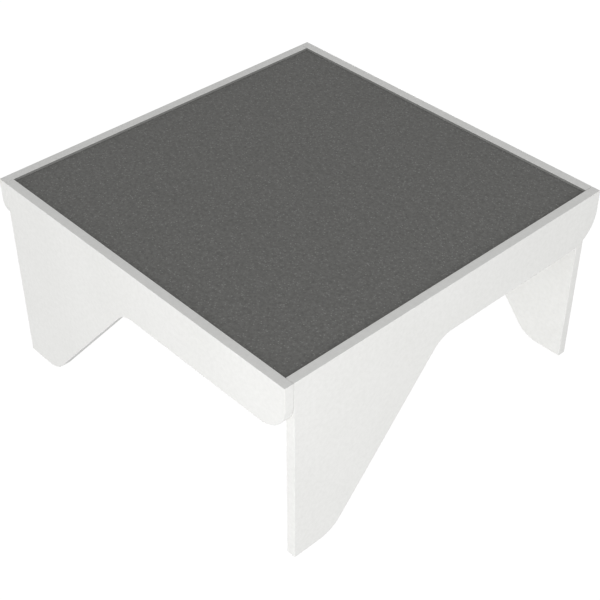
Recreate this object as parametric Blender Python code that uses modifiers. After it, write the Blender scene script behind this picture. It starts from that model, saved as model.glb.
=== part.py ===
"""Single-step mounting block: four equal side panels set pinwheel fashion round a sunk anti-slip deck.

Metres, +Z up. The origin is the centre of the square plan at floor level, and the front faces -Y.
Every side is the front one turned about Z in steps of 90 degrees: front, right, back, left.
Each panel is a deep apron with one leg. Its rounded end closes the corner, and the leg end of the
next panel butts against its inner face, so the four legs stand one under each corner.
"""

import math

import bmesh
import bpy
from mathutils import Matrix, Vector

# Overall size
SIDE = 0.500
HEIGHT = 0.258
SHEET = 0.012  # side panels and deck board

# Panel outline, with lengths measured along the panel from its rounded end
APRON_DEPTH = 0.068
ARCH_START = 0.2676  # where the apron's underside would meet the slanted edge of the leg
FOOT_WIDTH = 0.0566  # from the leg's outer edge to where the floor would meet the slanted edge
FOOT_RADIUS = 0.042
ARCH_RADIUS = 0.0375
END_RADIUS = 0.040
EDGE_EASE = 0.0005

# Deck
RECESS = 0.0025  # rim down to the tread
TREAD = 0.0025
TREAD_BEVEL = 0.0015  # round its upper edge, and filled by the seal
SEAL_HOLLOW_AT = 0.6  # the seal's face is hollowed here, as a share of its width from the panels
SEAL_HOLLOW_UP = 0.3  # and at this share of its height above the tread
CLEAT_THICKNESS = 0.016
CLEAT_HEIGHT = 0.020
RIB_THICKNESS = 0.016
RIB_HEIGHT = 0.038
BLOCK_SIDE = 0.020
BLOCK_BOTTOM = 0.204
BATTEN_EASE = 0.0008

# Fasteners
SCREW_SIDES = 10
SCREW_RADIUS = 0.0020
HEAD_RADIUS = 0.0040
HEAD_RIM = 0.0004
HEAD_DEPTH = 0.0026
HEAD_SUNK = 0.0002
TIP_LENGTH = 0.0030
SOCKET_RADIUS = 0.0018
SOCKET_DEPTH = 0.0014
SHORT_SCREW = 0.025
LONG_SCREW = 0.030
DOWEL_SIDES = 12
DOWEL_RADIUS = 0.0030
DOWEL_IN_FACE = 0.008
DOWEL_IN_END = 0.022
DOWEL_CHAMFER = 0.0007

# Where the fasteners stand
CLEAT_SCREWS_AT = (-0.180, 0.0, 0.180)  # along a side, into its panel
DECK_SCREWS_AT = (-0.110, 0.110)  # along a side, down into its cleat
RIB_SCREWS_AT = (-0.120, 0.120)  # along a rib, down from the deck board
LAPPED_SCREW_AT = 0.216  # height of the corner block's screw into the panel with the rounded end
BUTTED_SCREW_AT = 0.234  # height of its screw into the panel that butts against that one
DOWELS_AT = (0.2215, 0.246)

GAP = 0.0003  # kept between neighbouring pieces
HOLE_ABOVE = 0.001  # by which a screw's hole starts clear of its head
MERGE = 0.00001
CREASE = math.radians(40)  # edges sharper than this are eased
SHARP = math.radians(30)  # edges sharper than this stay sharp on a smooth piece

# Worked out from the above
HALF = SIDE / 2
INNER = HALF - SHEET  # centre to a panel's inner face
APRON_BOTTOM = HEIGHT - APRON_DEPTH
PANEL_LENGTH = SIDE - SHEET - GAP
FOOT_START = SIDE - SHEET - FOOT_WIDTH
TREAD_TOP = HEIGHT - RECESS
DECK_TOP = TREAD_TOP - TREAD - GAP
DECK_BOTTOM = DECK_TOP - SHEET
SUPPORT_TOP = DECK_BOTTOM - GAP
DECK_HALF = INNER - GAP
CLEAT_HALF = DECK_HALF - BLOCK_SIDE - GAP
CLEAT_MIDDLE = DECK_HALF - CLEAT_THICKNESS / 2
BLOCK_MIDDLE = DECK_HALF - BLOCK_SIDE / 2
RIB_HALF = DECK_HALF - CLEAT_THICKNESS - GAP

SIDES = ("front", "right", "back", "left")
CORNERS = ("front_right", "back_right", "back_left", "front_left")
TO_PANEL = Vector((0, -1, 0))  # from a front cleat into the front panel
TO_NEIGHBOUR = Vector((1, 0, 0))  # from the front right corner block into the right panel
DOWN = Vector((0, 0, -1))


def empty_file():
    for obj in list(bpy.data.objects):
        bpy.data.objects.remove(obj, do_unlink=True)


def collection(name):
    made = bpy.data.collections.new(name)
    bpy.context.scene.collection.children.link(made)
    return made


def material(name, colour, roughness, metallic=0.0):
    made = bpy.data.materials.new(name)
    made.use_nodes = True
    shader = made.node_tree.nodes["Principled BSDF"]
    shader.inputs["Base Color"].default_value = (*colour, 1.0)
    shader.inputs["Roughness"].default_value = roughness
    shader.inputs["Metallic"].default_value = metallic
    return made


def mesh_from(bm, name):
    mesh = bpy.data.meshes.new(name)
    bm.to_mesh(mesh)
    bm.free()
    return mesh


def turn(quarter):
    return Matrix.Rotation(math.radians(90 * quarter), 4, "Z")


def place(point, direction):
    """Matrix that puts a fastener's head at point, with its shank along direction."""
    return Matrix.Translation(point) @ direction.to_track_quat("-Z", "Y").to_matrix().to_4x4()


def gathered(name, mesh, places):
    """One mesh with a separate copy of mesh at each place."""
    bm = bmesh.new()
    for matrix in places:
        copy = mesh.copy()
        copy.transform(matrix)
        bm.from_mesh(copy)
        bpy.data.meshes.remove(copy)
    return mesh_from(bm, name)


def modelled(obj):
    """The mesh that obj's modifiers give it. The object itself is removed."""
    bpy.context.view_layer.update()
    evaluated = obj.evaluated_get(bpy.context.evaluated_depsgraph_get())
    mesh = bpy.data.meshes.new_from_object(evaluated)
    mesh.name = obj.name
    mesh.transform(obj.matrix_world)
    bpy.data.objects.remove(obj, do_unlink=True)
    return mesh


def working_object(name, data):
    obj = bpy.data.objects.new(name, data)
    workshop.objects.link(obj)
    obj.hide_render = True
    obj.display_type = "WIRE"
    return obj


def ease_edges(obj, width, segments=1):
    bevel = obj.modifiers.new("eased edges", "BEVEL")
    bevel.width = width
    bevel.segments = segments
    bevel.limit_method = "ANGLE"
    bevel.angle_limit = CREASE


def cut_away(obj, cutter_mesh):
    cutter = working_object(obj.name + "_cutter", cutter_mesh)
    hole = obj.modifiers.new("holes", "BOOLEAN")
    hole.operation = "DIFFERENCE"
    hole.solver = "EXACT"
    hole.object = cutter


def box_mesh(name, low, high):
    low, high = Vector(low), Vector(high)
    bm = bmesh.new()
    bmesh.ops.create_cube(bm, size=1.0)
    bmesh.ops.scale(bm, vec=high - low, verts=bm.verts)
    bmesh.ops.translate(bm, vec=(low + high) / 2, verts=bm.verts)
    return mesh_from(bm, name)


def turned_mesh(name, profile, sides):
    """A solid turned about Z from (radius, height) points that run down its outer side."""
    bm = bmesh.new()
    points = [bm.verts.new((radius, 0.0, height)) for radius, height in profile]
    for start, end in zip(points, points[1:]):
        bm.edges.new((start, end))
    obj = working_object(name, mesh_from(bm, name))
    screw = obj.modifiers.new("turned", "SCREW")
    screw.axis = "Z"
    screw.angle = math.tau
    screw.steps = sides
    screw.render_steps = sides
    screw.use_merge_vertices = True
    screw.merge_threshold = MERGE
    return modelled(obj)


def arc(centre, radius, start, end, steps):
    """Points on an arc, with its angles in degrees."""
    angles = [math.radians(start + (end - start) * i / steps) for i in range(steps + 1)]
    return [(centre[0] + radius * math.cos(a), centre[1] + radius * math.sin(a)) for a in angles]


def panel_outline():
    slant = math.atan2(APRON_BOTTOM, FOOT_START - ARCH_START)
    tangent = math.tan(slant / 2)
    slant_deg = math.degrees(slant)
    end_centre = (END_RADIUS, APRON_BOTTOM + END_RADIUS)
    arch_centre = (ARCH_START - ARCH_RADIUS * tangent, APRON_BOTTOM - ARCH_RADIUS)
    foot_centre = (FOOT_START + FOOT_RADIUS * tangent, FOOT_RADIUS)
    return [
        (0.0, HEIGHT),
        *arc(end_centre, END_RADIUS, 180, 270, 16),
        *arc(arch_centre, ARCH_RADIUS, 90, 90 - slant_deg, 8),
        *arc(foot_centre, FOOT_RADIUS, 270 - slant_deg, 270, 10),
        (PANEL_LENGTH, 0.0),
        (PANEL_LENGTH, HEIGHT),
    ]


def plate_mesh(name, outline, thickness):
    """A flat plate with its outline in XY, centred on Z = 0."""
    curve = bpy.data.curves.new(name, "CURVE")
    curve.dimensions = "2D"
    curve.fill_mode = "BOTH"
    curve.extrude = thickness / 2
    spline = curve.splines.new("POLY")
    spline.points.add(len(outline) - 1)
    for point, (x, y) in zip(spline.points, outline):
        point.co = (x, y, 0.0, 1.0)
    spline.use_cyclic_u = True
    mesh = modelled(working_object(name, curve))
    bm = bmesh.new()
    bm.from_mesh(mesh)
    bmesh.ops.remove_doubles(bm, verts=bm.verts, dist=MERGE)
    bmesh.ops.recalc_face_normals(bm, faces=bm.faces)
    return mesh_from(bm, name)


def screw_profile(length, clearance=0.0, above=0.0):
    """Countersunk screw with its head's top at height 0, or with clearance the hole for it."""
    shank, head = SCREW_RADIUS + clearance, HEAD_RADIUS + clearance
    return [
        (0.0, above),
        (head, above),
        (head, -HEAD_RIM - clearance),
        (shank, -HEAD_DEPTH - clearance),
        (shank, -length + TIP_LENGTH - clearance),
        (0.0, -length - clearance),
    ]


def screw_mesh(length):
    obj = working_object("screw", turned_mesh("screw", screw_profile(length), SCREW_SIDES))
    bm = bmesh.new()
    bmesh.ops.create_cone(
        bm,
        cap_ends=True,
        segments=6,
        radius1=SOCKET_RADIUS,
        radius2=SOCKET_RADIUS,
        depth=2 * SOCKET_DEPTH,
    )
    cut_away(obj, mesh_from(bm, "socket"))
    return modelled(obj)


def screw_hole_mesh(length):
    clearance = GAP / math.cos(math.pi / SCREW_SIDES)
    return turned_mesh("screw_hole", screw_profile(length, clearance, above=HOLE_ABOVE), SCREW_SIDES)


def dowel_profile(clearance=0.0, chamfer=DOWEL_CHAMFER):
    """A dowel from the end grain, at height 0, down into the face of the next panel."""
    radius = DOWEL_RADIUS + clearance
    length = DOWEL_IN_FACE + DOWEL_IN_END + clearance
    return [
        (0.0, clearance),
        (radius - chamfer, clearance),
        (radius, clearance - chamfer),
        (radius, chamfer - length),
        (radius - chamfer, -length),
        (0.0, -length),
    ]


def dowel_hole_mesh():
    clearance = GAP / math.cos(math.pi / DOWEL_SIDES)
    return turned_mesh("dowel_hole", dowel_profile(clearance), DOWEL_SIDES)


def cleat_screw_places():
    start = -DECK_HALF + CLEAT_THICKNESS - HEAD_SUNK
    height = SUPPORT_TOP - CLEAT_HEIGHT / 2
    return [place((x, start, height), TO_PANEL) for x in CLEAT_SCREWS_AT]


def deck_screw_places():
    return [place((x, -CLEAT_MIDDLE, DECK_TOP - HEAD_SUNK), DOWN) for x in DECK_SCREWS_AT]


def lengthwise_rib_screw_places():
    return [place((0.0, y, DECK_TOP - HEAD_SUNK), DOWN) for y in RIB_SCREWS_AT]


def lapped_screw_places():
    """Front right corner block into the front panel, whose rounded end laps over the corner."""
    start = -DECK_HALF + BLOCK_SIDE - HEAD_SUNK
    return [place((BLOCK_MIDDLE, start, LAPPED_SCREW_AT), TO_PANEL)]


def butted_screw_places():
    """Front right corner block into the right panel, whose leg end butts at the corner."""
    start = DECK_HALF - BLOCK_SIDE + HEAD_SUNK
    return [place((start, -BLOCK_MIDDLE, BUTTED_SCREW_AT), TO_NEIGHBOUR)]


def dowel_places():
    """Front right corner, from the right panel's end into the front panel's inner face."""
    middle = HALF - SHEET / 2
    return [place((middle, -INNER + DOWEL_IN_END, z), TO_PANEL) for z in DOWELS_AT]


def at_other_end(places):
    """Front right corner places as they fall on the front left corner."""
    return [turn(-1) @ matrix for matrix in places]


def all_round(places):
    return [turn(quarter) @ matrix for quarter in range(4) for matrix in places]


def panel_mesh():
    obj = working_object("panel", plate_mesh("panel", panel_outline(), SHEET))
    stand_up = Matrix.Rotation(math.pi, 4, "Z") @ Matrix.Rotation(math.pi / 2, 4, "X")
    obj.data.transform(Matrix.Translation((HALF, -HALF + SHEET / 2, 0.0)) @ stand_up)
    ease_edges(obj, EDGE_EASE, segments=2)
    cut_away(obj, gathered("cleat_holes", short_hole, cleat_screw_places()))
    blocks = lapped_screw_places() + at_other_end(butted_screw_places())
    cut_away(obj, gathered("block_holes", long_hole, blocks))
    dowels = dowel_places() + at_other_end(dowel_places())
    cut_away(obj, gathered("dowel_holes", dowel_hole_mesh(), dowels))
    return modelled(obj)


def cleat_mesh():
    low = (-CLEAT_HALF, -DECK_HALF, SUPPORT_TOP - CLEAT_HEIGHT)
    high = (CLEAT_HALF, -DECK_HALF + CLEAT_THICKNESS, SUPPORT_TOP)
    obj = working_object("cleat", box_mesh("cleat", low, high))
    ease_edges(obj, BATTEN_EASE)
    cut_away(obj, gathered("cleat_holes", short_hole, cleat_screw_places()))
    cut_away(obj, gathered("deck_holes", long_hole, deck_screw_places()))
    return modelled(obj)


def corner_block_mesh():
    low = (DECK_HALF - BLOCK_SIDE, -DECK_HALF, BLOCK_BOTTOM)
    high = (DECK_HALF, -DECK_HALF + BLOCK_SIDE, SUPPORT_TOP)
    obj = working_object("corner_block", box_mesh("corner_block", low, high))
    ease_edges(obj, BATTEN_EASE)
    cut_away(obj, gathered("lapped_holes", long_hole, lapped_screw_places()))
    cut_away(obj, gathered("butted_holes", long_hole, butted_screw_places()))
    return modelled(obj)


def rib_mesh(name, notch_from_below):
    """A stiffener along Y, halved at its middle to cross its neighbour."""
    bottom = SUPPORT_TOP - RIB_HEIGHT
    low = (-RIB_THICKNESS / 2, -RIB_HALF, bottom)
    high = (RIB_THICKNESS / 2, RIB_HALF, SUPPORT_TOP)
    obj = working_object(name, box_mesh(name, low, high))
    ease_edges(obj, BATTEN_EASE)
    cut_away(obj, gathered("rib_holes", long_hole, lengthwise_rib_screw_places()))
    middle = bottom + RIB_HEIGHT / 2
    notch_low = bottom - GAP if notch_from_below else middle - GAP / 2
    notch_high = middle + GAP / 2 if notch_from_below else SUPPORT_TOP + GAP
    across, along = RIB_THICKNESS, RIB_THICKNESS / 2 + GAP
    cut_away(obj, box_mesh("notch", (-across, -along, notch_low), (across, along, notch_high)))
    return modelled(obj)


def deck_board_mesh():
    low = (-DECK_HALF, -DECK_HALF, DECK_BOTTOM)
    high = (DECK_HALF, DECK_HALF, DECK_TOP)
    obj = working_object("deck_board", box_mesh("deck_board", low, high))
    ribs = lengthwise_rib_screw_places()
    screws = all_round(deck_screw_places()) + ribs + [turn(1) @ matrix for matrix in ribs]
    cut_away(obj, gathered("deck_holes", long_hole, screws))
    return modelled(obj)


def square_mesh(name, section):
    """A square solid or ring, turned in four steps from (reach from the centre, height) points."""
    corner = math.sqrt(2)
    mesh = turned_mesh(name, [(corner * reach, height) for reach, height in section], 4)
    mesh.transform(Matrix.Rotation(math.radians(45), 4, "Z"))
    return mesh


def tread_mesh():
    bottom = TREAD_TOP - TREAD
    section = [
        (0.0, TREAD_TOP),
        (DECK_HALF - TREAD_BEVEL, TREAD_TOP),
        (DECK_HALF, TREAD_TOP - TREAD_BEVEL),
        (DECK_HALF, bottom),
        (0.0, bottom),
    ]
    return square_mesh("tread", section)


def edge_seal_mesh():
    """A hollow-faced bead between the tread's bevel and the panels."""
    width = TREAD_BEVEL - math.sqrt(2) * GAP
    inner, top = DECK_HALF - width, HEIGHT - GAP
    hollow = (DECK_HALF - SEAL_HOLLOW_AT * width, TREAD_TOP + SEAL_HOLLOW_UP * (top - TREAD_TOP))
    section = [
        (inner, TREAD_TOP),
        hollow,
        (DECK_HALF, top),
        (DECK_HALF, TREAD_TOP - width),
        (inner, TREAD_TOP),
    ]
    return square_mesh("edge_seal", section)


def part(name, mesh, finish, matrix=None, smooth=False):
    """One named piece of the block."""
    if finish.name not in mesh.materials:
        mesh.materials.append(finish)
    if smooth:
        mesh.shade_smooth()
        mesh.set_sharp_from_angle(angle=SHARP)
    obj = bpy.data.objects.new(name, mesh)
    obj.matrix_world = matrix or Matrix.Identity(4)
    block.objects.link(obj)


def part_all_round(prefix, names, mesh, finish, smooth=False):
    for quarter, name in enumerate(names):
        part(f"{prefix}_{name}", mesh, finish, turn(quarter), smooth)


def fasteners_all_round(prefix, names, mesh, finish, places):
    for quarter, name in enumerate(names):
        fasteners(f"{prefix}_{name}", mesh, finish, [turn(quarter) @ matrix for matrix in places])


def fasteners(prefix, mesh, finish, places):
    for number, matrix in enumerate(places, start=1):
        name = f"{prefix}_{number}" if len(places) > 1 else prefix
        part(name, mesh, finish, matrix, smooth=True)


empty_file()
block = collection("mounting_block")
workshop = collection("cutters")

short_screw, short_hole = screw_mesh(SHORT_SCREW), screw_hole_mesh(SHORT_SCREW)
long_screw, long_hole = screw_mesh(LONG_SCREW), screw_hole_mesh(LONG_SCREW)
dowel = turned_mesh("dowel", dowel_profile(), DOWEL_SIDES)
along_rib = lengthwise_rib_screw_places()
across_rib = [turn(1) @ matrix for matrix in along_rib]

panel_white = material("panel_white", (0.83, 0.83, 0.82), 0.45)
board_white = material("board_white", (0.78, 0.78, 0.76), 0.55)
batten_white = material("batten_white", (0.78, 0.78, 0.76), 0.55)
tread_grey = material("tread_grey", (0.115, 0.115, 0.112), 0.85)
seal_grey = material("seal_grey", (0.24, 0.24, 0.232), 0.6)
dowel_beech = material("dowel_beech", (0.62, 0.42, 0.24), 0.65)
screw_steel = material("screw_steel", (0.60, 0.60, 0.61), 0.35, metallic=1.0)

part_all_round("panel", SIDES, panel_mesh(), panel_white, smooth=True)
part("deck_board", deck_board_mesh(), board_white)
part("tread_sheet", tread_mesh(), tread_grey)
part("edge_seal", edge_seal_mesh(), seal_grey)
part_all_round("deck_cleat", SIDES, cleat_mesh(), batten_white)
part_all_round("corner_block", CORNERS, corner_block_mesh(), batten_white)
part("deck_rib_lengthwise", rib_mesh("rib_lengthwise", notch_from_below=True), batten_white)
part("deck_rib_crosswise", rib_mesh("rib_crosswise", notch_from_below=False), batten_white, turn(1))

fasteners_all_round("corner_dowel", CORNERS, dowel, dowel_beech, dowel_places())
fasteners_all_round("cleat_screw", SIDES, short_screw, screw_steel, cleat_screw_places())
fasteners_all_round("deck_screw", SIDES, long_screw, screw_steel, deck_screw_places())
fasteners_all_round("lapped_screw", CORNERS, long_screw, screw_steel, lapped_screw_places())
fasteners_all_round("butted_screw", CORNERS, long_screw, screw_steel, butted_screw_places())
fasteners("rib_screw_lengthwise", long_screw, screw_steel, along_rib)
fasteners("rib_screw_crosswise", long_screw, screw_steel, across_rib)
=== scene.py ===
"""The look of the mounting block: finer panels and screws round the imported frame, finishes and light.

Metres, +Z up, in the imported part's own frame. The front faces -Y and the right side +X, and every side
is the front one turned about Z in steps of 90 degrees: front, right, back, left.
"""

import math

import bmesh
import bpy
from mathutils import Matrix, Vector


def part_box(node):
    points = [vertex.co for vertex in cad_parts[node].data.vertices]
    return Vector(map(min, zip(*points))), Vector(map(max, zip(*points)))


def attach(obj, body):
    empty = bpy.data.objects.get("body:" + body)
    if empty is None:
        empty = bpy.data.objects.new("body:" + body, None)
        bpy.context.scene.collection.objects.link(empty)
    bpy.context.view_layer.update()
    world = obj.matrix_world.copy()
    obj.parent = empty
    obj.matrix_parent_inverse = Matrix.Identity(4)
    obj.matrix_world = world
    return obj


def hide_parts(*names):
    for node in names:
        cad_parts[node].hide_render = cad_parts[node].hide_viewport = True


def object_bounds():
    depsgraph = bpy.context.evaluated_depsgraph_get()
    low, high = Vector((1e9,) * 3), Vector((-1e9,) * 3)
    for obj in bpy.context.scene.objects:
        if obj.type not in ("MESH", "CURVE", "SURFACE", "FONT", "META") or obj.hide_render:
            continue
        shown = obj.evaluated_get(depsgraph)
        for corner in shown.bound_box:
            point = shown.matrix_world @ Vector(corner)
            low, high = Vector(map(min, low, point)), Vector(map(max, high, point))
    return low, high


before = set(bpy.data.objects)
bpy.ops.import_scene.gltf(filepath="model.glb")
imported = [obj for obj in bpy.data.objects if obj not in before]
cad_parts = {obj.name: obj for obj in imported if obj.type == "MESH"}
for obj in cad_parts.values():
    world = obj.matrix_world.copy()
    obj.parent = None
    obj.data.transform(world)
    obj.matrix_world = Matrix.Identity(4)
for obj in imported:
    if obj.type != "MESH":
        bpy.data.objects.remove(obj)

cad_low, cad_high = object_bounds()

SIDES = ("front", "right", "back", "left")
CORNERS = ("front_right", "back_right", "back_left", "front_left")

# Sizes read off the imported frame
front_low, front_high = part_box("panel_front")
HALF = cad_high.x
HEIGHT = cad_high.z
SHEET = front_high.y - front_low.y

# Panel outline, with lengths measured along the panel from its rounded end
APRON_DEPTH = 0.068
ARCH_START = 0.2676  # where the apron's underside would meet the slanted edge of the leg
FOOT_WIDTH = 0.0566  # from the leg's outer edge to where the floor would meet the slanted edge
FOOT_RADIUS = 0.042
FOOT_STEPS = 24
ARCH_RADIUS = 0.0375
ARCH_STEPS = 20
END_RADIUS = 0.040
END_STEPS = 32
ARRIS_RADIUS = 0.0006
ARRIS_STEPS = 3
JOINT = 0.0002  # left open where a leg end butts against its neighbour

# Fasteners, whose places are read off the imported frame
SHANK_RADIUS = 0.0020
HEAD_RADIUS = 0.0040
HEAD_RIM = 0.0004
HEAD_DEPTH = 0.0026
TIP_LENGTH = 0.0030
SCREW_SIDES = 40
SOCKET_RADIUS = 0.0018
SOCKET_DEPTH = 0.0014
SOCKET_SIDES = 6
HOLE_CLEARANCE = 0.0003
HOLE_SIDES = 32

CREASE = math.radians(40)  # an edge that turns by more than this is an arris, or is shaded sharp
MERGE = 0.000001  # points closer than this are one

# Worked out from the above
APRON_BOTTOM = HEIGHT - APRON_DEPTH
PANEL_LENGTH = 2 * HALF - SHEET - JOINT
FOOT_START = 2 * HALF - SHEET - FOOT_WIDTH


# ---- Shader nodes ----

MIX_FIRST, MIX_SECOND, MIX_RESULT = 6, 7, 2  # a Mix node's sockets for colours
NOISE_LOW, NOISE_HIGH = 0.3, 0.7  # nearly all values of a noise texture lie between these


def add(tree, kind, inputs, **settings):
    """A shader node. Its inputs are plain values, or the sockets that feed them."""
    made = tree.nodes.new("ShaderNode" + kind)
    for key, value in settings.items():
        setattr(made, key, value)
    for key, value in inputs.items():
        if isinstance(value, bpy.types.NodeSocket):
            tree.links.new(value, made.inputs[key])
        else:
            made.inputs[key].default_value = value
    return made


def finish(name, specular):
    """A new material, its tree, its Principled shader and the object's own coordinates."""
    material = bpy.data.materials.new(name)
    material.use_nodes = True
    tree = material.node_tree
    shader = tree.nodes["Principled BSDF"]
    shader.inputs["Specular IOR Level"].default_value = specular
    coordinates = add(tree, "TexCoord", {}).outputs["Object"]
    return material, tree, shader, coordinates


def remap(tree, value, low, high, to_low, to_high):
    """The value carried from the first range to the second, and held inside it."""
    inputs = {"Value": value, "From Min": low, "From Max": high, "To Min": to_low, "To Max": to_high}
    return add(tree, "MapRange", inputs).outputs["Result"]


def between(tree, value, low, high):
    """A value from 0 to 1, turned into one from low to high."""
    return remap(tree, value, 0.0, 1.0, low, high)


def noise(tree, coordinates, size, detail=2.0, roughness=0.5):
    """Noise whose largest lumps are about size across."""
    inputs = {"Vector": coordinates, "Scale": 1.0 / size, "Detail": detail, "Roughness": roughness}
    return add(tree, "TexNoise", inputs).outputs["Fac"]


def patches(tree, coordinates, size, detail=2.0, roughness=0.5):
    """The same noise, stretched to fill 0 to 1."""
    raw = noise(tree, coordinates, size, detail, roughness)
    return remap(tree, raw, NOISE_LOW, NOISE_HIGH, 0.0, 1.0)


def blend(tree, factor, first, second, blend_type="MIX"):
    """A mix of two colours, each three numbers or a socket."""
    made = add(tree, "Mix", {"Factor": factor}, data_type="RGBA", blend_type=blend_type)
    for socket, value in ((made.inputs[MIX_FIRST], first), (made.inputs[MIX_SECOND], second)):
        if isinstance(value, bpy.types.NodeSocket):
            tree.links.new(value, socket)
        else:
            socket.default_value = (*value, 1.0)
    return made.outputs[MIX_RESULT]


def bump(tree, height, distance, under=None):
    """A normal for a surface that a height of 1 raises by the distance, on top of another normal."""
    inputs = {"Height": height, "Distance": distance, "Strength": 1.0}
    if under:
        inputs["Normal"] = under
    return add(tree, "Bump", inputs).outputs["Normal"]


def dress(tree, shader, colour, roughness, normal):
    """Feeds the three sockets of the shader that vary over the surface."""
    tree.links.new(colour, shader.inputs["Base Color"])
    tree.links.new(roughness, shader.inputs["Roughness"])
    tree.links.new(normal, shader.inputs["Normal"])


# ---- Finishes ----

def panel_white():
    """Satin white with a fine orange-peel skin."""
    material, tree, shader, here = finish("panel_white_satin", 0.45)
    mottle = patches(tree, here, 0.0052, 3.0, 0.55)
    drift = patches(tree, here, 0.09)
    fine = blend(tree, mottle, (0.810, 0.810, 0.793), (0.858, 0.858, 0.842))
    broad = blend(tree, drift, (0.975, 0.975, 0.973), (1.0, 1.0, 1.0))
    colour = blend(tree, 1.0, fine, broad, "MULTIPLY")
    polish = remap(tree, noise(tree, here, 0.012, 4.0, 0.6), NOISE_LOW, NOISE_HIGH, 0.42, 0.54)
    peel = bump(tree, noise(tree, here, 0.0028), 0.00008)
    grain = bump(tree, noise(tree, here, 0.0009), 0.00003, under=peel)
    dress(tree, shader, colour, polish, grain)
    return material


def tread_grit():
    """Dark grey anti-slip coat: packed fine grit, with some grains lighter than the rest."""
    material, tree, shader, here = finish("tread_grit_grey", 0.25)
    grains = add(tree, "TexVoronoi", {"Vector": here, "Scale": 1.0 / 0.0022}, feature="F1")
    pick = add(tree, "SeparateColor", {"Color": grains.outputs["Color"]}).outputs["Red"]
    chosen = remap(tree, pick, 0.6, 1.0, 0.0, 1.0)
    heart = remap(tree, grains.outputs["Distance"], 0.15, 0.5, 1.0, 0.0)
    speck = add(tree, "Math", {0: chosen, 1: heart}, operation="MULTIPLY").outputs["Value"]
    body = remap(tree, noise(tree, here, 0.0042, 4.0, 0.75), 0.32, 0.68, 0.0, 1.0)
    base = blend(tree, body, (0.138, 0.138, 0.132), (0.210, 0.210, 0.202))
    speckled = blend(tree, speck, base, (0.32, 0.32, 0.31))
    grit = bump(tree, noise(tree, here, 0.0008, 2.0, 0.7), 0.00012)
    lumps = bump(tree, heart, 0.00008, under=grit)
    dress(tree, shader, speckled, between(tree, speck, 0.9, 0.6), lumps)
    return material


def seal_rubber():
    """Smooth mid-grey bead, drawn along its corner by hand."""
    material, tree, shader, here = finish("seal_rubber_grey", 0.4)
    tone = patches(tree, here, 0.006, 3.0)
    colour = blend(tree, tone, (0.225, 0.225, 0.217), (0.265, 0.265, 0.256))
    ripple = bump(tree, noise(tree, here, 0.004), 0.00008)
    dress(tree, shader, colour, between(tree, tone, 0.55, 0.7), ripple)
    return material


def board_white():
    """Plain off-white board as it shows underneath: matt, with short fibres pressed into it."""
    material, tree, shader, here = finish("board_white_matt", 0.3)
    stretched = add(tree, "Mapping", {"Vector": here, "Scale": (1.0, 0.22, 1.0)}).outputs["Vector"]
    fibre = patches(tree, stretched, 0.0014, 4.0, 0.7)
    drift = patches(tree, here, 0.05, 3.0)
    pressed = blend(tree, fibre, (0.69, 0.69, 0.66), (0.80, 0.80, 0.775))
    colour = blend(tree, between(tree, drift, 0.0, 0.5), pressed, (0.775, 0.772, 0.745))
    dress(tree, shader, colour, between(tree, fibre, 0.6, 0.75), bump(tree, fibre, 0.00009))
    return material


def batten_white(along):
    """White-painted timber strip. The grain along it and fine saw ridges show through the paint."""
    material, tree, shader, here = finish(f"batten_white_along_{along}", 0.3)
    stretch = [0.09 if axis == along else 1.0 for axis in "xyz"]
    lengthwise = add(tree, "Mapping", {"Vector": here, "Scale": stretch}).outputs["Vector"]
    grain = patches(tree, lengthwise, 0.0026, 4.0, 0.62)
    diagonal = add(tree, "Mapping", {"Vector": here, "Rotation": (0.5, 0.5, 0.6)}).outputs["Vector"]
    wave = {
        "Vector": diagonal,
        "Scale": 1.0 / 0.0075,
        "Distortion": 3.0,
        "Detail": 3.0,
        "Detail Scale": 2.0,
    }
    ridges = add(tree, "TexWave", wave, bands_direction="X").outputs["Fac"]
    tone = patches(tree, here, 0.008, 4.0, 0.65)
    painted = blend(tree, tone, (0.74, 0.74, 0.71), (0.80, 0.80, 0.77))
    colour = blend(tree, between(tree, grain, 0.3, 0.0), painted, (0.60, 0.60, 0.565))
    sawn = bump(tree, ridges, 0.00005)
    raised = bump(tree, grain, 0.00012, under=sawn)
    dress(tree, shader, colour, between(tree, tone, 0.58, 0.76), raised)
    return material


def dowel_beech():
    """Pale beech with short dark flecks."""
    material, tree, shader, here = finish("dowel_beech_plain", 0.35)
    fleck = remap(tree, noise(tree, here, 0.0012, 4.0, 0.7), 0.45, 0.7, 0.0, 1.0)
    colour = blend(tree, fleck, (0.66, 0.46, 0.28), (0.42, 0.26, 0.14))
    dress(tree, shader, colour, between(tree, fleck, 0.6, 0.75), bump(tree, fleck, 0.00004))
    return material


def screw_zinc():
    """Zinc-plated steel, a little cloudy."""
    material, tree, shader, here = finish("screw_zinc_plated", 0.5)
    shader.inputs["Metallic"].default_value = 1.0
    cloud = patches(tree, here, 0.0012, 4.0, 0.6)
    colour = blend(tree, cloud, (0.55, 0.56, 0.58), (0.72, 0.72, 0.71))
    dress(tree, shader, colour, between(tree, cloud, 0.24, 0.42), bump(tree, cloud, 0.000012))
    return material


# ---- Shapes ----

def turn(quarter):
    """The turn from the front to another side."""
    return Matrix.Rotation(math.radians(90 * quarter), 4, "Z")


def arc(centre, radius, start, end, steps):
    """Points on an arc, with its angles in degrees."""
    angles = [math.radians(start + (end - start) * i / steps) for i in range(steps + 1)]
    return [(centre[0] + radius * math.cos(a), centre[1] + radius * math.sin(a)) for a in angles]


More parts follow.
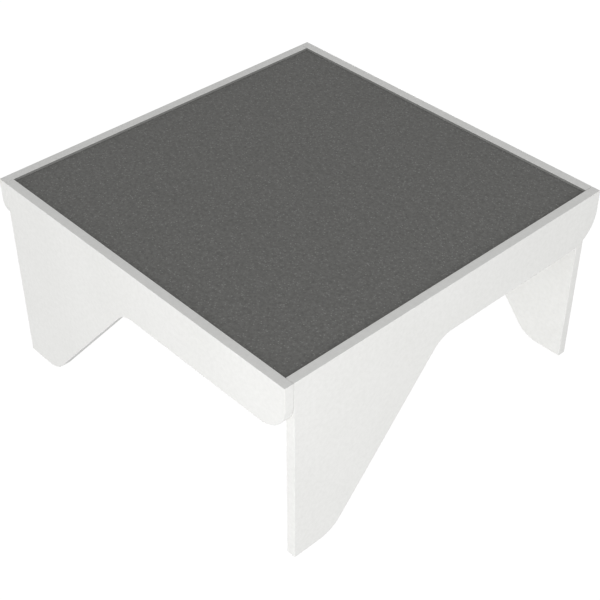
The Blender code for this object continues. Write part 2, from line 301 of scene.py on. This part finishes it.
def panel_outline():
    """(distance from the rounded end, height) all round a panel."""
    slant = math.atan2(APRON_BOTTOM, FOOT_START - ARCH_START)
    tangent = math.tan(slant / 2)
    slant_deg = math.degrees(slant)
    end_centre = (END_RADIUS, APRON_BOTTOM + END_RADIUS)
    arch_centre = (ARCH_START - ARCH_RADIUS * tangent, APRON_BOTTOM - ARCH_RADIUS)
    foot_centre = (FOOT_START + FOOT_RADIUS * tangent, FOOT_RADIUS)
    return [
        (0.0, HEIGHT),
        *arc(end_centre, END_RADIUS, 180, 270, END_STEPS),
        *arc(arch_centre, ARCH_RADIUS, 90, 90 - slant_deg, ARCH_STEPS),
        *arc(foot_centre, FOOT_RADIUS, 270 - slant_deg, 270, FOOT_STEPS),
        (PANEL_LENGTH, 0.0),
        (PANEL_LENGTH, HEIGHT),
    ]


def mesh_from(bm, name):
    """A new mesh out of a bmesh, which is used up."""
    mesh = bpy.data.meshes.new(name)
    bm.to_mesh(mesh)
    bm.free()
    return mesh


def add_cylinder(bm, sides, radius, depth, matrix):
    """A closed cylinder along the matrix's Z, with its middle at the matrix's place."""
    bmesh.ops.create_cone(
        bm, cap_ends=True, segments=sides, radius1=radius, radius2=radius, depth=depth, matrix=matrix
    )


def cut(mesh, cutter):
    """The mesh with the cutter's mesh taken out of it, under the same name. Both are used up."""
    name = mesh.name
    body = bpy.data.objects.new("body", mesh)
    tool = bpy.data.objects.new("tool", cutter)
    for obj in (body, tool):
        bpy.context.scene.collection.objects.link(obj)
    hole = body.modifiers.new("hole", "BOOLEAN")
    hole.operation = "DIFFERENCE"
    hole.solver = "EXACT"
    hole.object = tool
    bpy.context.view_layer.update()
    evaluated = body.evaluated_get(bpy.context.evaluated_depsgraph_get())
    made = bpy.data.meshes.new_from_object(evaluated)
    for obj in (body, tool):
        bpy.data.objects.remove(obj, do_unlink=True)
    for used in (mesh, cutter):
        bpy.data.meshes.remove(used)
    made.name = name
    return made


def fastener(name):
    """A matrix with the fastener's head at its origin and the shank down -Z, its length and width."""
    low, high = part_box(name)
    size, middle = high - low, (low + high) / 2
    along = max(range(3), key=lambda axis: size[axis])
    direction = Vector((0.0, 0.0, 0.0))
    direction[along] = math.copysign(1.0, middle[along])
    head = middle - direction * size[along] / 2
    turned = direction.to_track_quat("-Z", "Y").to_matrix().to_4x4()
    return Matrix.Translation(head) @ turned, size[along], min(size)


def panel_holes(quarter):
    """Blind holes for the screws and dowels that enter the panel on one side."""
    side, corner, corner_before = SIDES[quarter], CORNERS[quarter], CORNERS[quarter - 1]
    screws = [f"cleat_screw_{side}_{number}" for number in (1, 2, 3)]
    screws += [f"lapped_screw_{corner}", f"butted_screw_{corner_before}"]
    dowels = [f"corner_dowel_{end}_{number}" for end in (corner, corner_before) for number in (1, 2)]
    bm = bmesh.new()
    for name in screws + dowels:
        matrix, length, width = fastener(name)
        radius = HOLE_CLEARANCE + (width / 2 if name in dowels else SHANK_RADIUS)
        middle = matrix @ Matrix.Translation((0.0, 0.0, -length / 2))
        add_cylinder(bm, HOLE_SIDES, radius, length + 2 * HOLE_CLEARANCE, middle)
    return mesh_from(bm, "holes")


def shaded(mesh):
    """The mesh, smooth but for its creases."""
    mesh.shade_smooth()
    mesh.set_sharp_from_angle(angle=CREASE)
    return mesh


def panel_mesh(name, quarter):
    """A panel with softly rounded arrises, made as the front one and turned to its side."""
    bm = bmesh.new()
    outer = [bm.verts.new((HALF - along, -HALF, height)) for along, height in panel_outline()]
    face = bm.faces.new(outer)
    extruded = bmesh.ops.extrude_face_region(bm, geom=[face])["geom"]
    pushed = [item for item in extruded if isinstance(item, bmesh.types.BMVert)]
    bmesh.ops.translate(bm, vec=(0.0, SHEET, 0.0), verts=pushed)
    bmesh.ops.recalc_face_normals(bm, faces=bm.faces)
    bmesh.ops.bevel(
        bm,
        geom=[edge for edge in bm.edges if edge.calc_face_angle() > CREASE],
        offset=ARRIS_RADIUS,
        offset_type="OFFSET",
        segments=ARRIS_STEPS,
        profile=0.5,
        affect="EDGES",
        clamp_overlap=True,
    )
    bmesh.ops.transform(bm, matrix=turn(quarter), verts=bm.verts)
    return shaded(cut(mesh_from(bm, name), panel_holes(quarter)))


def screw_mesh(name):
    """A countersunk screw with a hexagon socket, along the line of its CAD node."""
    matrix, length, _ = fastener(name)
    rim = HEAD_RIM / 2
    profile = [
        (0.0, 0.0),
        (HEAD_RADIUS - rim, 0.0),
        (HEAD_RADIUS, -rim),
        (HEAD_RADIUS, -HEAD_RIM),
        (SHANK_RADIUS + rim, -HEAD_DEPTH + rim),
        (SHANK_RADIUS, -HEAD_DEPTH - rim),
        (SHANK_RADIUS, -length + TIP_LENGTH),
        (0.0, -length),
    ]
    bm = bmesh.new()
    points = [bm.verts.new((radius, 0.0, height)) for radius, height in profile]
    edges = [bm.edges.new(pair) for pair in zip(points, points[1:])]
    bmesh.ops.spin(
        bm, geom=points + edges, cent=(0, 0, 0), axis=(0, 0, 1), angle=math.tau, steps=SCREW_SIDES
    )
    bmesh.ops.remove_doubles(bm, verts=bm.verts, dist=MERGE)
    bmesh.ops.recalc_face_normals(bm, faces=bm.faces)
    socket = bmesh.new()
    add_cylinder(socket, SOCKET_SIDES, SOCKET_RADIUS, 2 * SOCKET_DEPTH, Matrix.Identity(4))
    mesh = cut(mesh_from(bm, name), mesh_from(socket, "socket"))
    mesh.transform(matrix)
    return shaded(mesh)


# ---- Pieces ----

def piece(name, mesh, material):
    """A fine piece on the one body, which takes the place of a node of the frame."""
    made = bpy.data.objects.new(name, mesh)
    mesh.materials.append(material)
    bpy.context.scene.collection.objects.link(made)
    weighted = made.modifiers.new("flat faces stay flat", "WEIGHTED_NORMAL")
    weighted.mode = "FACE_AREA"
    weighted.weight = 100
    weighted.keep_sharp = True
    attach(made, "root")
    return made


def repaint(name, material):
    """Gives a node of the frame a finer finish and leaves its shape."""
    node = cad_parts[name]
    node.data.materials.clear()
    node.data.materials.append(material)


white = panel_white()
for quarter, side in enumerate(SIDES):
    name = f"side_panel_{side}"
    panel = piece(name, panel_mesh(name, quarter), white)
    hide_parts(f"panel_{side}")

repaint("tread_sheet", tread_grit())
repaint("edge_seal", seal_rubber())
repaint("deck_board", board_white())
battens = {along: batten_white(along) for along in "xyz"}
repaint("deck_rib_lengthwise", battens["y"])
repaint("deck_rib_crosswise", battens["x"])
for side in SIDES:
    repaint(f"deck_cleat_{side}", battens["x" if side in ("front", "back") else "y"])
for corner in CORNERS:
    repaint(f"corner_block_{corner}", battens["z"])
beech, zinc = dowel_beech(), screw_zinc()
for name in list(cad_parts):
    if "_dowel_" in name:
        repaint(name, beech)
    if name.startswith(("deck_screw_", "rib_screw_")):
        repaint(name, zinc)
    if name.startswith(("cleat_screw_", "lapped_screw_", "butted_screw_")):
        screw = piece(f"visible_{name}", screw_mesh(name), zinc)
        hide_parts(name)


# ---- Floor, light and camera ----

FLOOR_REACH = 6.0
FLOOR_SIDES = 96
WALL_HEIGHT = 2.0
FLOOR_GLOW = 0.955  # brightness of its own
FLOOR_DIFFUSE = 0.12  # how much of the light on it shows, and so of a shadow

ROOM_LIGHT = 0.526  # even, from all round
FRONT_GLOW = 1.84  # at the middle of a broad soft patch, low in front
FRONT_GLOW_FROM = Vector((-0.25, -1.0, -0.2)).normalized()
FRONT_GLOW_EDGE = 0.82  # cosine of the angle at which it has faded out

# Place, aim, side of the square in metres and power in watts
SOFTBOXES = {
    "near_softbox": ((1.0, -1.3, 0.45), (0.2, -0.2, 0.15), 0.7, 6.1),
    "right_softbox": ((1.8, 0.2, 0.5), (0.0, 0.0, 0.15), 1.0, 6.35),
    "side_softbox": ((1.5, -0.55, 0.4), (0.1, 0.1, 0.12), 0.7, 2.4),
    "top_softbox": ((-0.9, 0.1, 1.2), (-0.2, 0.0, 0.25), 0.6, 0.42),
    "far_softbox": ((-1.0, 1.6, 0.12), (0.0, 0.0, 0.12), 0.5, 9.0),
}

CAMERA_TARGET = Vector((0.0016, 0.0017, 0.0836))
CAMERA_AZIMUTH = 47.007  # degrees from the front towards the right side
CAMERA_ELEVATION = 38.937  # degrees
CAMERA_DISTANCE = 1.6434
CAMERA_LENS = 78.32  # millimetres, as is the sensor's width
CAMERA_SENSOR = 36.0


def floor_pale():
    """Near white with a faint shadow, and clear where it is seen from below or outside."""
    material = bpy.data.materials.new("floor_pale")
    material.use_nodes = True
    tree = material.node_tree
    tree.nodes.clear()
    glow = add(tree, "Emission", {"Color": (1.0, 1.0, 1.0, 1.0), "Strength": FLOOR_GLOW})
    matt = add(tree, "BsdfDiffuse", {"Color": (FLOOR_DIFFUSE, FLOOR_DIFFUSE, FLOOR_DIFFUSE, 1.0)})
    both = add(tree, "AddShader", {0: glow.outputs[0], 1: matt.outputs[0]})
    clear = add(tree, "BsdfTransparent", {})
    back = add(tree, "NewGeometry", {}).outputs["Backfacing"]
    mixed = add(tree, "MixShader", {0: back, 1: both.outputs[0], 2: clear.outputs[0]})
    add(tree, "OutputMaterial", {"Surface": mixed.outputs[0]})
    return material


def floor():
    """Pale ground with a low wall all round, which neither lights nor shades the block."""
    bm = bmesh.new()
    bmesh.ops.create_circle(bm, cap_ends=True, segments=FLOOR_SIDES, radius=FLOOR_REACH)
    rim = [edge for edge in bm.edges if edge.is_boundary]
    raised = bmesh.ops.extrude_edge_only(bm, edges=rim)["geom"]
    top = [item for item in raised if isinstance(item, bmesh.types.BMVert)]
    bmesh.ops.translate(bm, vec=(0.0, 0.0, WALL_HEIGHT), verts=top)
    bmesh.ops.recalc_face_normals(bm, faces=bm.faces)
    ground_face = min(bm.faces, key=lambda face: face.calc_center_median().z)
    if ground_face.normal.z < 0.0:
        bmesh.ops.reverse_faces(bm, faces=bm.faces)
    ground = bpy.data.objects.new("floor", mesh_from(bm, "floor"))
    bpy.context.scene.collection.objects.link(ground)
    ground.data.materials.append(floor_pale())
    ground.visible_diffuse = False
    ground.visible_glossy = False
    ground.visible_shadow = False


def surroundings():
    """Even studio light from all round, and a broad soft glow from low in front."""
    world = bpy.data.worlds.new("studio")
    bpy.context.scene.world = world
    world.use_nodes = True
    tree = world.node_tree
    tree.nodes.clear()
    direction = add(tree, "TexCoord", {}).outputs["Generated"]
    towards = {0: direction, 1: FRONT_GLOW_FROM}
    facing = add(tree, "VectorMath", towards, operation="DOT_PRODUCT").outputs["Value"]
    fade = {
        "Value": facing,
        "From Min": FRONT_GLOW_EDGE,
        "To Min": ROOM_LIGHT,
        "To Max": ROOM_LIGHT + FRONT_GLOW,
    }
    strength = add(tree, "MapRange", fade, interpolation_type="SMOOTHSTEP").outputs["Result"]
    sky = add(tree, "Background", {"Color": (1.0, 1.0, 1.0, 1.0), "Strength": strength})
    add(tree, "OutputWorld", {"Surface": sky.outputs[0]})


def softbox(name, place, aim, size, power):
    """A square light at a place, which faces its aim."""
    lamp = bpy.data.lights.new(name, "AREA")
    lamp.shape = "SQUARE"
    lamp.size = size
    lamp.energy = power
    made = bpy.data.objects.new(name, lamp)
    made.location = place
    made.rotation_euler = (Vector(aim) - Vector(place)).to_track_quat("-Z", "Y").to_euler()
    bpy.context.scene.collection.objects.link(made)


def camera():
    """A view down on the near corner, between the front and the right side."""
    azimuth, elevation = math.radians(CAMERA_AZIMUTH), math.radians(CAMERA_ELEVATION)
    level = math.cos(elevation)
    back = Vector((math.sin(azimuth) * level, -math.cos(azimuth) * level, math.sin(elevation)))
    data = bpy.data.cameras.new("camera")
    data.lens = CAMERA_LENS
    data.sensor_width = CAMERA_SENSOR
    made = bpy.data.objects.new("camera", data)
    made.location = CAMERA_TARGET + back * CAMERA_DISTANCE
    made.rotation_euler = (-back).to_track_quat("-Z", "Y").to_euler()
    bpy.context.scene.collection.objects.link(made)
    bpy.context.scene.camera = made


floor()
surroundings()
for name, (place, aim, size, power) in SOFTBOXES.items():
    softbox(name, place, aim, size, power)
camera()
bpy.context.scene.view_settings.view_transform = "Standard"
